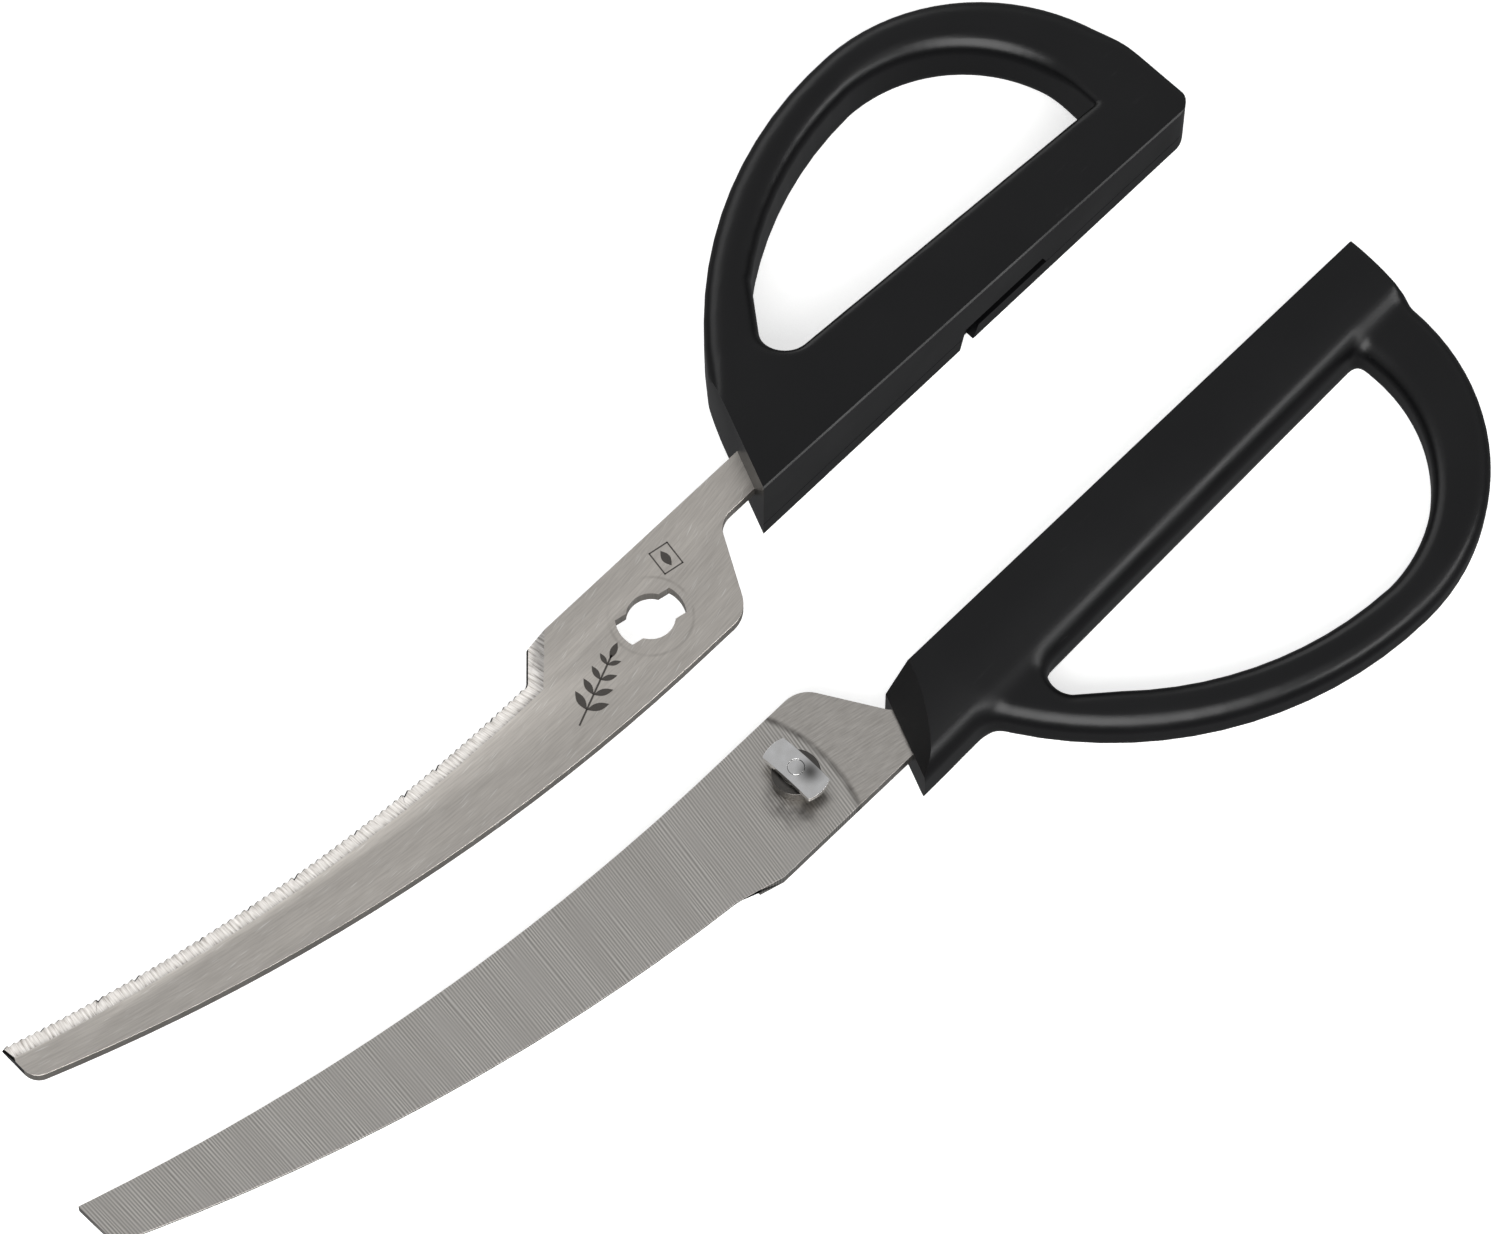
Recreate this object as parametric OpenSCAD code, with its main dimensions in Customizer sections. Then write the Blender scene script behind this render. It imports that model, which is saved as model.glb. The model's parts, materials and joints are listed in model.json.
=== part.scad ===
// Take-apart poultry shears with curved blades, laid out with the two halves side by side.
// Each half is a flat steel blade moulded into a plastic handle with one finger loop.
// The serrated half drops over a post on the plain half, and a bar on the post locks it
// once the halves turn back towards each other.
//
// Shapes are drawn about the pivot: X runs along the bars to the handle ends, Y points to
// the thumb loop, and Z = 0 is the plane in which the two blades meet.

/* [Blades] */
// Thickness of both blades
blade_t = 2.2; // [1.8:0.1:2.8]
// Running gap between the two blades
blade_gap = 0.2; // [0.1:0.05:0.4]
// Width of the flat shank round the pivot
shank_w = 20.2; // [18:0.2:24]
// Width of the necks that run into the handles
neck_w = 6.4; // [5:0.2:8]
// From the pivot to the start of the rounded heel
heel_x = 8; // [7:0.25:9]
// Corner radius of the heel
heel_r = 5; // [3:0.5:6]
// Length of the tang inside each handle, from the front of the handle
tang_l = 60; // [40:1:75]
// Radius of the hole that anchors each tang
anchor_r = 1.6; // [1:0.1:2]

/* [Serrated blade] */
// From the pivot to the tip
serrated_reach = 118.5; // [100:0.5:145]
// Radius of the hollow cutting edge
serrated_edge_r = 308; // [280:2:360]
// Radius of the spine
serrated_spine_r = 317; // [290:2:360]
// How far the cutting edge lies below the shank's side
edge_drop = 4; // [2:0.5:6]
// Width of the ground bevel
bevel_w = 3; // [2:0.25:4]
// Thickness left under the bevel at the cutting edge
edge_t = 0.5; // [0.3:0.1:0.8]
// Distance between teeth
tooth_pitch = 1.25; // [1:0.05:2]
// Depth of the teeth
tooth_depth = 0.5; // [0.2:0.05:0.8]
// Where the lowest point of a tooth lies, as a share of the pitch towards the tip
tooth_lean = 0.74; // [0.5:0.02:0.9]

/* [Plain blade] */
// From the pivot to the tip
plain_reach = 124.3; // [100:0.5:145]
// Radius of the bellied cutting edge
plain_edge_r = 330; // [300:2:360]
// Radius of the spine
plain_spine_r = 375; // [340:2:420]
// How far the cutting edge lies above the shank's side
plain_drop = 0.6; // [0:0.2:1.4]

/* [Pivot] */
// Radius of the collar that the serrated blade turns on
collar_r = 3.8; // [3.2:0.1:4.2]
// Radial clearance of every turning fit
running_c = 0.05; // [0.02:0.01:0.1]
// Radius of the shank riveted through the plain blade
rivet_r = 2.2; // [1.8:0.1:2.6]
// Radius of the riveted head
rivet_head_r = 4; // [3.4:0.1:4.8]
// Thickness of the riveted head
rivet_head_t = 0.8; // [0.5:0.1:1.2]
// Length of the lock bar
lock_l = 10.8; // [10:0.2:12]
// Width of the lock bar
lock_w = 4.6; // [4:0.2:5.2]
// Thickness of the lock bar
lock_t = 1.1; // [0.8:0.1:1.4]
// How far the lock bar bows up at its middle
lock_bow = 0.6; // [0.3:0.1:1]
// Radius of the spigot on the post that carries the lock bar
spigot_r = 1.3; // [1:0.1:1.6]
// Clearance of the lock bar in the keyhole
keyhole_c = 0.15; // [0.1:0.05:0.6]
// Angle of the keyhole's slots from the bar of the serrated half
keyhole_angle = -12; // [-20:1:0]

/* [Thumb handle] */
// From the pivot to the front of the handle
thumb_front = 25; // [24:0.5:30]
// Length of the handle
thumb_l = 98; // [80:0.5:110]
// How far the loop reaches from the mating face
thumb_reach = 47.4; // [40:0.2:52]
// Radius of the long front curve of the loop
thumb_front_r = 68; // [58:0.5:76]
// Radius of the rear curve of the loop
thumb_rear_r = 35; // [28:0.5:38]
// Height of the flat top over the mating plane at the front
thumb_top_front = 9.8; // [8:0.2:11]
// Height of the flat top over the mating plane at the rear end
thumb_top_rear = 4.6; // [4:0.2:8]

/* [Finger handle] */
// From the pivot to the front of the handle
finger_front = 19.5; // [18:0.5:26]
// Length of the handle
finger_l = 105; // [85:0.5:115]
// How far the loop reaches from the mating face
finger_reach = 50; // [42:0.2:55]
// Radius of the long front curve of the loop
finger_front_r = 69; // [60:0.5:80]
// Radius of the rear curve of the loop
finger_rear_r = 36; // [30:0.5:40]
// Height of the crowned bar over the mating plane
finger_top = 6; // [5:0.2:8]
// Radius of the crown of the bar
crown_r = 22; // [18:0.5:30]
// Height of the loop's top over the mating plane
finger_loop_top = 2.4; // [1:0.2:4]
// Lean of the slope above the blade at the front of the bar, from upright
nose_lean = 45; // [35:1:55]

/* [Both handles] */
// Depth of both handles below the mating plane
under_h = 7; // [6:0.2:9]
// Width of the bar at its front end
bar_w_front = 13.8; // [12:0.2:16]
// Width of the bar at its rear end
bar_w_rear = 11.4; // [10:0.2:14]
// Width of the loop's rod
rod_w = 7; // [6:0.2:9]
// Width of the rod where it runs down into the rear end
rod_rear_w = 11.5; // [9:0.5:14]
// From the front of the handle to the start of the finger opening
opening_start = 19; // [16:0.5:24]
// Angle of the handle's front, seen from above
nose_angle = 67; // [60:1:80]
// Gap between the two bars when the shears are closed
bar_gap = 0.6; // [0.4:0.1:1.5]

/* [Layout] */
// How far the serrated half lies along the bars from its closed place
apart_x = 3; // [0:1:12]
// How far the serrated half lies beside its closed place
apart_y = 34; // [32:1:60]

/* [Hidden] */
$fn = 96;
far = 400;                                     // larger than the whole object
arc_step = 3;                                  // millimetres between the points of a long arc
corner_steps = 8;                              // points in a small rounded corner

shank_y = shank_w / 2;
neck_y = shank_y - neck_w;
serrated_z = blade_gap;                        // underside of the serrated blade
serrated_top = serrated_z + blade_t;
heel_slope = 60;                               // from the heel up to the neck, in degrees
neck_fillet_r = 4;
ramp_x = -13;                                  // where the plain shank's side turns in towards the edge
ramp_l = 8;
run_out_x = -13;                               // where the serrated bevel starts, on the shank's side
run_out_angle = 134;                           // way that the bevel deepens from there, in degrees
step_x = -17;                                  // where the serrated shank's side steps in to the edge
step_l = 4;
tip_r = 3;                                     // rounding of the tips on their belly side
bevel_slope = (blade_t - edge_t) / bevel_w;
moulding_c = 0.02;                             // between a tang and the plastic moulded round it
anchor_x = 18;                                 // from a handle's front to the anchor hole

edge_c = [-25, shank_y - edge_drop + serrated_edge_r];
spine_c = [0, -shank_y + serrated_spine_r];
plain_edge_c = [12, -shank_y + plain_drop + plain_edge_r];
plain_spine_c = [-9, shank_y + plain_spine_r];

keyhole_r = collar_r + running_c;
slot_r = lock_l / 2 + keyhole_c;
slot_w = lock_w + 2 * keyhole_c;
axial_c = 0.05;                                // end play of the post
rivet_hole_r = rivet_r + running_c;
spigot_hole_r = spigot_r + running_c;
lock_c = 0.1;                                  // between the serrated blade and the lock bar's ends
collar_top = serrated_top - lock_c;            // the collar stops just inside the keyhole
lock_z = serrated_top + lock_c + lock_bow;     // underside of the lock bar at its middle
lock_top = lock_z + lock_t;
bow_r = (pow(lock_l / 2, 2) + pow(lock_bow, 2)) / (2 * lock_bow);
waist_top = lock_z - bow_r + sqrt(pow(bow_r, 2) - pow(rivet_r, 2)) - axial_c;

loop_c = 0.6;                                  // the finger loop's rod stays clear of the table
loop_under = under_h - loop_c;
crown_y = 2;                                   // ridge of the crown, from the mating face
bar_overlap = 0.5;                             // the crowned bar runs into the loop by this much
front_over = 5;                                // flat top carried past the thumb handle's front
recess_x = 45;                                 // slot in the thumb handle's mating face
recess_l = 18;
recess_h = 2.6;
recess_depth = 1.4;
recess_z = -3.6;

rest_x = finger_front + finger_l / 2;          // the origin lies under the middle of the finger bar
rest_y = -(bar_gap + bar_w_rear) / 2;

// --- Placing ------------------------------------------------------------------------------

// From the pivot's frame to the part's frame, for the half that stays put.
module plain_half() {
    translate([-rest_x, -rest_y, under_h]) children();
}

// The same for the half that is laid beside it.
module serrated_half() {
    plain_half() translate([apart_x, apart_y, 0]) children();
}

// --- Outlines of the blades ---------------------------------------------------------------

function polar(centre, r, angle) = centre + r * [cos(angle), sin(angle)];
function flip(points) = [for (p = points) [p[0], -p[1]]];
function arc(centre, r, from, to, n) =
    [for (i = [0:n]) polar(centre, r, from + (to - from) * i / n)];

// Angles of the points of a long blade arc at a given x, on its lower side.
function low_angle(centre, r, x) = 270 + asin((x - centre[0]) / r);

// The lower side of a long arc between two values of x.
function long_arc(centre, r, x_from, x_to) =
    arc(centre, r, low_angle(centre, r, x_from), low_angle(centre, r, x_to),
        ceil(abs(x_to - x_from) / arc_step));

// Leaning teeth along the lower side of an arc, cut away from its centre.
function teeth(centre, r, x_from, x_to) =
    let (a = low_angle(centre, r, x_from), b = low_angle(centre, r, x_to))
    let (n = floor(abs(b - a) * PI / 180 * r / tooth_pitch))
    [for (i = [0:n - 1]) for (share = [0, tooth_lean])
        polar(centre, r + (share > 0 ? tooth_depth : 0), a + (b - a) * (i + share) / n)];

// Rounds a tip between its square end and the belly arc.
function tip(reach, belly_c, belly_r) =
    let (x = -reach + tip_r)
    let (y = belly_c[1] - sqrt(pow(belly_r - tip_r, 2) - pow(x - belly_c[0], 2)))
    arc([x, y], tip_r, 180, atan2(y - belly_c[1], x - belly_c[0]) + 360, corner_steps);

// Heel, slope and neck up to the tang's end, for a half with its loop on the +Y side.
function heel(tang_end) =
    let (c = [heel_x, heel_r - shank_y])
    let (reach = c[0] * sin(heel_slope) - c[1] * cos(heel_slope) + heel_r + neck_fillet_r)
    let (fillet_y = neck_y - neck_fillet_r)
    let (fillet_c = [(reach + fillet_y * cos(heel_slope)) / sin(heel_slope), fillet_y])
    concat(
        arc(c, heel_r, -90, heel_slope - 90, corner_steps),
        arc(fillet_c, neck_fillet_r, heel_slope + 90, 90, corner_steps),
        [[tang_end, neck_y], [tang_end, shank_y]]
    );

module serrated_outline(tang_end) {
    polygon(concat(
        [[step_x, shank_y]],
        teeth(edge_c, serrated_edge_r, step_x - step_l, -serrated_reach),
        tip(serrated_reach, spine_c, serrated_spine_r),
        long_arc(spine_c, serrated_spine_r, -serrated_reach + tip_r, 0),
        heel(tang_end)
    ));
}

module plain_outline(tang_end) {
    edge_x = ramp_x - ramp_l;
    polygon(concat(
        [[ramp_x, -shank_y]],
        long_arc(plain_edge_c, plain_edge_r, edge_x, -plain_reach + tip_r),
        [for (i = [corner_steps:-1:0]) tip(plain_reach, plain_edge_c, plain_edge_r)[i]],
        long_arc(plain_spine_c, plain_spine_r, -plain_reach, plain_spine_c[0]),
        flip(heel(tang_end))
    ));
}

// Space swept by a grinding wheel along an arc, as a ring with the given section.
module ground_ring(centre, section) {
    translate(centre) rotate_extrude($fn = 720) polygon(section);
}

// The serrated bevel deepens from its start on the shank's side as steeply as it is ground.
module run_out() {
    translate([run_out_x, shank_y, serrated_top]) rotate(run_out_angle) rotate([0, atan(bevel_slope), 0])
        translate([-far / 2, -far / 2, 0]) cube(far);
}

module anchor_hole(front, side, r) {
    translate([front + anchor_x, side * (shank_y - neck_w / 2), -far / 2]) cylinder(far, r, r);
}

// --- Blades -------------------------------------------------------------------------------

module serrated_blade() {
    r = serrated_edge_r;
    low = serrated_z + edge_t;
    color("lightsteelblue") serrated_half() difference() {
        translate([0, 0, serrated_z]) linear_extrude(blade_t) serrated_outline(thumb_front + tang_l);
        intersection() {
            ground_ring(edge_c, [
                [r - 2 * bevel_w, low - 2 * bevel_w * bevel_slope],
                [r + 2 * bevel_w, low + 2 * bevel_w * bevel_slope],
                [r - 2 * bevel_w, low + 2 * bevel_w * bevel_slope]
            ]);
            run_out();
        }
        keyhole();
        anchor_hole(thumb_front, 1, anchor_r);
    }
}

// Round hole for the collar, with two slots that let the lock bar through.
module keyhole() {
    cylinder(far, keyhole_r, keyhole_r, center = true);
    intersection() {
        cylinder(far, slot_r, slot_r, center = true);
        rotate(keyhole_angle) cube([far, slot_w, far], center = true);
    }
}

module plain_blade() {
    r = plain_edge_r;
    color("silver") plain_half() difference() {
        translate([0, 0, -blade_t]) linear_extrude(blade_t) plain_outline(finger_front + tang_l);
        intersection() {
            ground_ring(plain_edge_c, [
                [r + 2 * bevel_w, -edge_t + 2 * bevel_w * bevel_slope],
                [r - 2 * bevel_w, -edge_t - 2 * bevel_w * bevel_slope],
                [r + 2 * bevel_w, -edge_t - 2 * bevel_w * bevel_slope]
            ]);
            translate([ramp_x - ramp_l / 2 - far, -far / 2, -far / 2]) cube(far);
        }
        cylinder(far, rivet_hole_r, rivet_hole_r, center = true);
        anchor_hole(finger_front, -1, anchor_r);
    }
}

// --- Pivot --------------------------------------------------------------------------------

// One turned piece: riveted head under the plain blade, shank, collar, waist and spigot.
module pivot_post() {
    head_top = -blade_t - axial_c;
    head_low = head_top - rivet_head_t;
    edge_round = rivet_head_t / 2;
    color("gainsboro") plain_half() rotate_extrude() polygon([
        [0, head_low],
        [rivet_head_r - edge_round, head_low],
        [rivet_head_r, head_low + edge_round],
        [rivet_head_r, head_top],
        [rivet_r, head_top],
        [rivet_r, axial_c],
        [collar_r, axial_c],
        [collar_r, collar_top],
        [rivet_r, collar_top],
        [rivet_r, waist_top],
        [spigot_r, waist_top],
        [spigot_r, lock_top - axial_c],
        [0, lock_top - axial_c]
    ]);
}

// Bowed bar across the post, square to the plain half's handle, with ends on one circle.
module lock_bar() {
    color("whitesmoke") plain_half() difference() {
        intersection() {
            cylinder(far, lock_l / 2, lock_l / 2);
            translate([-lock_w / 2, -far / 2, collar_top]) cube([lock_w, far, far]);
            translate([0, 0, lock_z - bow_r]) rotate([0, 90, 0])
                cylinder(far, bow_r + lock_t, bow_r + lock_t, center = true, $fn = 360);
        }
        translate([0, 0, lock_z - bow_r]) rotate([0, 90, 0])
            cylinder(far, bow_r, bow_r, center = true, $fn = 360);
        cylinder(far, spigot_hole_r, spigot_hole_r, center = true);
    }
}

// --- Handles ------------------------------------------------------------------------------

// D-shaped plan of a handle, with its mating face at y = 0 and its loop on the +Y side.
module grip_plan(front, length, reach, front_r, rear_r) {
    end = front + length;
    apex = end - rear_r;
    opening_end = end - rod_rear_w;
    inner_r = rear_r - (rod_w + rod_rear_w) / 2;
    inner_x = opening_end - inner_r;
    difference() {
        union() {
            intersection() {
                translate([apex, reach - front_r]) circle(front_r, $fn = 360);
                square([apex, reach]);
            }
            intersection() {
                translate([apex, reach - rear_r]) circle(rear_r, $fn = 360);
                translate([apex, 0]) square([rear_r, reach]);
            }
            translate([apex, 0]) square([rear_r, reach - rear_r]);
            square([apex, bar_w_front]);
        }
        intersection() {
            union() {
                intersection() {
                    translate([apex, reach - front_r]) circle(front_r - rod_w, $fn = 360);
                    square([inner_x, reach]);
                }
                translate([inner_x, reach - rod_w - inner_r]) circle(inner_r, $fn = 360);
                translate([inner_x, 0]) square([inner_r, reach - rod_w - inner_r]);
            }
            polygon([
                [front + opening_start, bar_w_front], [opening_end, bar_w_rear],
                [opening_end, reach], [front + opening_start, reach]
            ]);
        }
    }
}

// Everything behind the handle's slanted front, at its place in the pivot's frame.
module behind_nose(front) {
    translate([front, 0, -far / 2]) rotate(nose_angle - 90) translate([0, -far / 2, 0]) cube(far);
}

// Space for a tang, with the plastic that fills its anchor hole left standing.
module tang_socket(front, side, z) {
    c = moulding_c;
    y = side > 0 ? neck_y : -shank_y;
    difference() {
        translate([0, y - c, z - c]) cube([front + tang_l + c, neck_w + 2 * c, blade_t + 2 * c]);
        anchor_hole(front, side, anchor_r - c);
    }
}

// Flat top that falls towards the rear, seen from the side.
module thumb_side_view() {
    end = thumb_front + thumb_l;
    rotate([90, 0, 0]) linear_extrude(far, center = true) polygon([
        [thumb_front - front_over, -under_h], [end, -under_h], [end, thumb_top_rear],
        [thumb_front, thumb_top_front], [thumb_front - front_over, thumb_top_front]
    ]);
}

module thumb_handle() {
    color("#1c1c1e") serrated_half() difference() {
        intersection() {
            translate([0, bar_gap / 2, -under_h]) linear_extrude(under_h + thumb_top_front)
                grip_plan(thumb_front, thumb_l, thumb_reach, thumb_front_r, thumb_rear_r);
            thumb_side_view();
            behind_nose(thumb_front);
        }
        tang_socket(thumb_front, 1, serrated_z);
        translate([thumb_front + recess_x, 0, recess_z]) cube([recess_l, recess_depth, recess_h]);
    }
}

// Straight bar with a crown that falls away to the loop, and a slope down to the blade.
module finger_bar() {
    end = finger_front + finger_l;
    intersection() {
        translate([0, bar_gap / 2, -under_h]) linear_extrude(under_h + finger_top) polygon([
            [0, 0], [end, 0], [end, bar_w_rear], [0, bar_w_front + bar_overlap]
        ]);
        translate([0, crown_y, finger_top - crown_r]) rotate([0, 90, 0])
            cylinder(far, crown_r, crown_r, $fn = 360);
    }
}

// The plain blade's neck is still widening where it enters the handle, so its outline is cut too.
module finger_handle() {
    color("#1c1c1e") plain_half() difference() {
        intersection() {
            mirror([0, 1, 0]) union() {
                finger_bar();
                translate([0, bar_gap / 2, -loop_under]) linear_extrude(loop_under + finger_loop_top)
                    grip_plan(finger_front, finger_l, finger_reach, finger_front_r, finger_rear_r);
            }
            behind_nose(finger_front);
        }
        tang_socket(finger_front, -1, -blade_t);
        translate([0, 0, -blade_t - moulding_c]) linear_extrude(blade_t + 2 * moulding_c)
            plain_outline(finger_front + anchor_x / 2);
        translate([finger_front, 0, axial_c]) rotate(nose_angle - 90) rotate([0, -nose_lean, 0])
            translate([-far, -far / 2, 0]) cube(far);
    }
}

serrated_blade();
plain_blade();
thumb_handle();
finger_handle();
pivot_post();
lock_bar();
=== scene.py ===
# %% [markdown]
# # Take-apart poultry shears
# These shears come apart for washing. Each half is a flat stainless blade moulded into a
# black plastic handle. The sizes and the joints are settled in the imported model, so this
# lesson only adds the looks: rounded mouldings, eased edges, an etched sprig and seven
# finishes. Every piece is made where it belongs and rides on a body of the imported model.

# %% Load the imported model
import json
import math

import bmesh
import bpy
import numpy as np
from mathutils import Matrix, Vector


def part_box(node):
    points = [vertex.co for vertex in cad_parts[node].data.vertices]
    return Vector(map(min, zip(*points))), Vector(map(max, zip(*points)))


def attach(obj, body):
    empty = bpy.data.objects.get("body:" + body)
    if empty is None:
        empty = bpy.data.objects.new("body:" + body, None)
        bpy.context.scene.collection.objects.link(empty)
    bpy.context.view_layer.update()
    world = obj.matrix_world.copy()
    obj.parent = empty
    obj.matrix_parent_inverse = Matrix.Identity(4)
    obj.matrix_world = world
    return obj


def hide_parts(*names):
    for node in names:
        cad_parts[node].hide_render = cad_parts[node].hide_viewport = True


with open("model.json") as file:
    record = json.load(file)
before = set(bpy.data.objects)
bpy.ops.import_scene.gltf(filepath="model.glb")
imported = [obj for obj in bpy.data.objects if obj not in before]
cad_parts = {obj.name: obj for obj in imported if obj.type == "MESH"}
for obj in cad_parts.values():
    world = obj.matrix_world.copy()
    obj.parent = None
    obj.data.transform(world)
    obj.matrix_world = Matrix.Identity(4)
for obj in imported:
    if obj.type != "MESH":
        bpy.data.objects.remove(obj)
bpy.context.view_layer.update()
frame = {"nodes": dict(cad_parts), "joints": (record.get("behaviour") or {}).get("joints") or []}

import openvdb
from mathutils import Matrix, Vector

# %% [markdown]
# ## Working in millimetres about the pivot
# A shear maker measures from the pivot, so each half is drawn in millimetres about its own
# pivot and put in place at the end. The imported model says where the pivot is. The serrated
# half lies beside the plain half, moved along and across as one.

# %% Places of the two halves
MM = 0.001
pivot = Vector(next(j for j in frame["joints"] if j["name"] == "swing")["pos_m"])
laid_apart = Vector((3, 34, 0)) * MM
HALF_ORIGIN = {"plain_half": pivot, "serrated_half": pivot + laid_apart}


def row_point(half, x, y, z=0.0):
    """A point given in millimetres from a half's pivot, as a place in the row frame."""
    return HALF_ORIGIN[half] + Vector((x, y, z)) * MM


def extent(node, half):
    """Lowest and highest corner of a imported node, in millimetres from its half's pivot."""
    return [(corner - HALF_ORIGIN[half]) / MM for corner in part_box(node)]


for node_name, half_name in (("serrated_blade", "serrated_half"), ("plain_blade", "plain_half")):
    low, high = extent(node_name, half_name)
    print(node_name, "runs from", round(low.x, 1), "to", round(high.x, 1), "mm")

# %% [markdown]
# ## Camera
# The shears are seen from rather high up and from one corner, with a long lens. A long lens
# far away keeps the two halves nearly equal in size, as in a catalogue picture.

# %% Camera
view_elevation = math.radians(66)
view_heading = math.radians(44.31)
view_distance = 1.2
view_width = 230.8 * MM
view_centre = Vector((-57.7, 29.75, 7)) * MM
towards_camera = Vector((
    -math.cos(view_heading) * math.cos(view_elevation),
    -math.sin(view_heading) * math.cos(view_elevation),
    math.sin(view_elevation),
))

camera_data = bpy.data.cameras.new("camera")
camera_data.sensor_width = 36
camera_data.lens = camera_data.sensor_width * view_distance / view_width
camera = bpy.data.objects.new("camera", camera_data)
camera.location = view_centre + towards_camera * view_distance
camera.rotation_euler = (-towards_camera).to_track_quat("-Z", "Y").to_euler()
bpy.context.collection.objects.link(camera)
bpy.context.scene.camera = camera
bpy.context.scene.view_settings.view_transform = "Standard"
print("lens:", round(camera_data.lens), "mm")

# %% [markdown]
# ## One function for every node
# A material is a small graph of nodes. One function adds a node, sets what is fixed and
# links what varies, so that each material below reads as a list of steps. A second one turns
# a colour written as sRGB hex into the linear numbers that Blender calculates with.

# %% Nodes and colours
def add(tree, kind, settings=(), links=()):
    """Adds a node, sets its properties and sockets, and links the sockets named in links.

    Each link comes from a socket, or from a node that stands for its first output.
    """
    node = tree.nodes.new(kind)
    for key, value in dict(settings).items():
        if isinstance(key, str) and hasattr(node, key):
            setattr(node, key, value)
        else:
            node.inputs[key].default_value = value
    for key, source in dict(links).items():
        if isinstance(source, bpy.types.Node):
            source = source.outputs[0]
        tree.links.new(source, node.inputs[key])
    return node


def linear(code):
    """An sRGB hex colour as linear red, green, blue and alpha."""
    shares = [int(code[i:i + 2], 16) / 255 for i in (1, 3, 5)]
    return [c / 12.92 if c <= 0.04045 else ((c + 0.055) / 1.055) ** 2.4 for c in shares] + [1.0]


def new_material(name, fixed):
    """A material with one Principled shader, whose constant sockets are set here."""
    material = bpy.data.materials.new(name)
    material.use_nodes = True
    tree = material.node_tree
    tree.nodes.clear()
    shader = add(tree, "ShaderNodeBsdfPrincipled", fixed)
    add(tree, "ShaderNodeOutputMaterial", links={"Surface": shader})
    return material, tree, shader


print("white in linear light:", linear("#ffffff"))

# %% [markdown]
# ## Floor and light
# The shears lie on a plain white sheet that is also lit a little from below, as on a light
# table, so that it stays white in the shadows. The sheet is kept out of reflections, because
# black plastic would mirror it at a low angle and look grey. That is a trick of the stage, and
# what the plastic mirrors instead is the world: pale above and darker below, like a dim room
# under a white tent. One very large softbox stands on the camera's side, so that
# it lights the floor but isn't mirrored in the flat of the blades. Two low, long softboxes graze
# the shears from both sides. The bevel with the teeth faces the far one, and so it looks brighter
# than the flat blade.

# %% Floor
floor_mesh = bpy.data.meshes.new("floor")
floor_half = 3.0
floor_corners = [(-floor_half, -floor_half, 0), (floor_half, -floor_half, 0),
                 (floor_half, floor_half, 0), (-floor_half, floor_half, 0)]
floor_mesh.from_pydata(floor_corners, [], [(0, 1, 2, 3)])
floor = bpy.data.objects.new("floor", floor_mesh)
bpy.context.collection.objects.link(floor)
floor_sheet, _, _ = new_material("lit_white_sheet", {
    "Base Color": linear("#f6f6f4"), "Roughness": 0.9,
    "Emission Color": linear("#ffffff"), "Emission Strength": 0.6,
})
floor_mesh.materials.append(floor_sheet)
floor.visible_glossy = False
print("floor:", 2 * floor_half, "m wide")

# %% Lights
world = bpy.data.worlds.new("studio")
world.use_nodes = True
sky = world.node_tree
background = sky.nodes["Background"]
background.inputs["Color"].default_value = linear("#f7f8fa")
direction = add(sky, "ShaderNodeTexCoord").outputs["Generated"]
height = add(sky, "ShaderNodeSeparateXYZ", links={0: direction}).outputs["Z"]
sky_light = add(sky, "ShaderNodeMapRange",
                {"From Min": -0.05, "From Max": 0.35, "To Min": 0.17, "To Max": 0.48},
                {"Value": height})
sky.links.new(sky_light.outputs[0], background.inputs["Strength"])
bpy.context.scene.world = world


def softbox(name, place, size, power):
    """A square or long lamp in metres that faces the shears."""
    lamp = bpy.data.lights.new(name, "AREA")
    lamp.shape = "RECTANGLE"
    lamp.size, lamp.size_y = size
    lamp.energy = power
    holder = bpy.data.objects.new(name, lamp)
    holder.location = place
    holder.rotation_euler = (Vector(place) - view_centre).to_track_quat("Z", "Y").to_euler()
    bpy.context.collection.objects.link(holder)


softbox("large_softbox", (-1.2, -1.1, 1.2), (1.8, 1.8), 48)
softbox("far_softbox", (0.1, 1.5, 0.6), (2.2, 0.9), 6.4)
softbox("near_softbox", (0.5, -1.4, 0.5), (1.4, 0.35), 8)
print("softboxes:", len(bpy.data.lights))

# %% [markdown]
# ## Marks that a wheel leaves
# Steel is ground and satined with abrasive wheels and belts, and their grit draws fine
# parallel marks. Noise becomes such marks when it is stretched. Here the stretching follows
# circles and rays about a far centre, because the marks on a curved blade fan out along it.

# %% Wheel marks
NOISE_REACH = {"From Min": 0.3, "From Max": 0.7}
FLAT = (1, 1, 0)


def about(tree, centre):
    """Coordinates on the surface in millimetres from a place in the row frame."""
    here = add(tree, "ShaderNodeTexCoord").outputs["Object"]
    away = add(tree, "ShaderNodeVectorMath", {"operation": "SUBTRACT", 1: centre}, {0: here})
    return add(tree, "ShaderNodeVectorMath", {"operation": "SCALE", "Scale": 1 / MM}, {0: away})


def wheel_place(tree, centre, radius):
    """Millimetres round a far centre, measured at that radius, and millimetres away from it."""
    place = about(tree, centre)
    part = add(tree, "ShaderNodeSeparateXYZ", links={0: place})
    depth = add(tree, "ShaderNodeMath", {"operation": "ABSOLUTE"}, {0: part.outputs["Y"]})
    angle = add(tree, "ShaderNodeMath", {"operation": "ARCTAN2"}, {0: part.outputs["X"], 1: depth})
    around = add(tree, "ShaderNodeMath", {"operation": "MULTIPLY", 1: radius}, {0: angle})
    reach = add(tree, "ShaderNodeVectorMath", {"operation": "LENGTH"}, {0: place})
    return around, reach.outputs["Value"]


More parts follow.
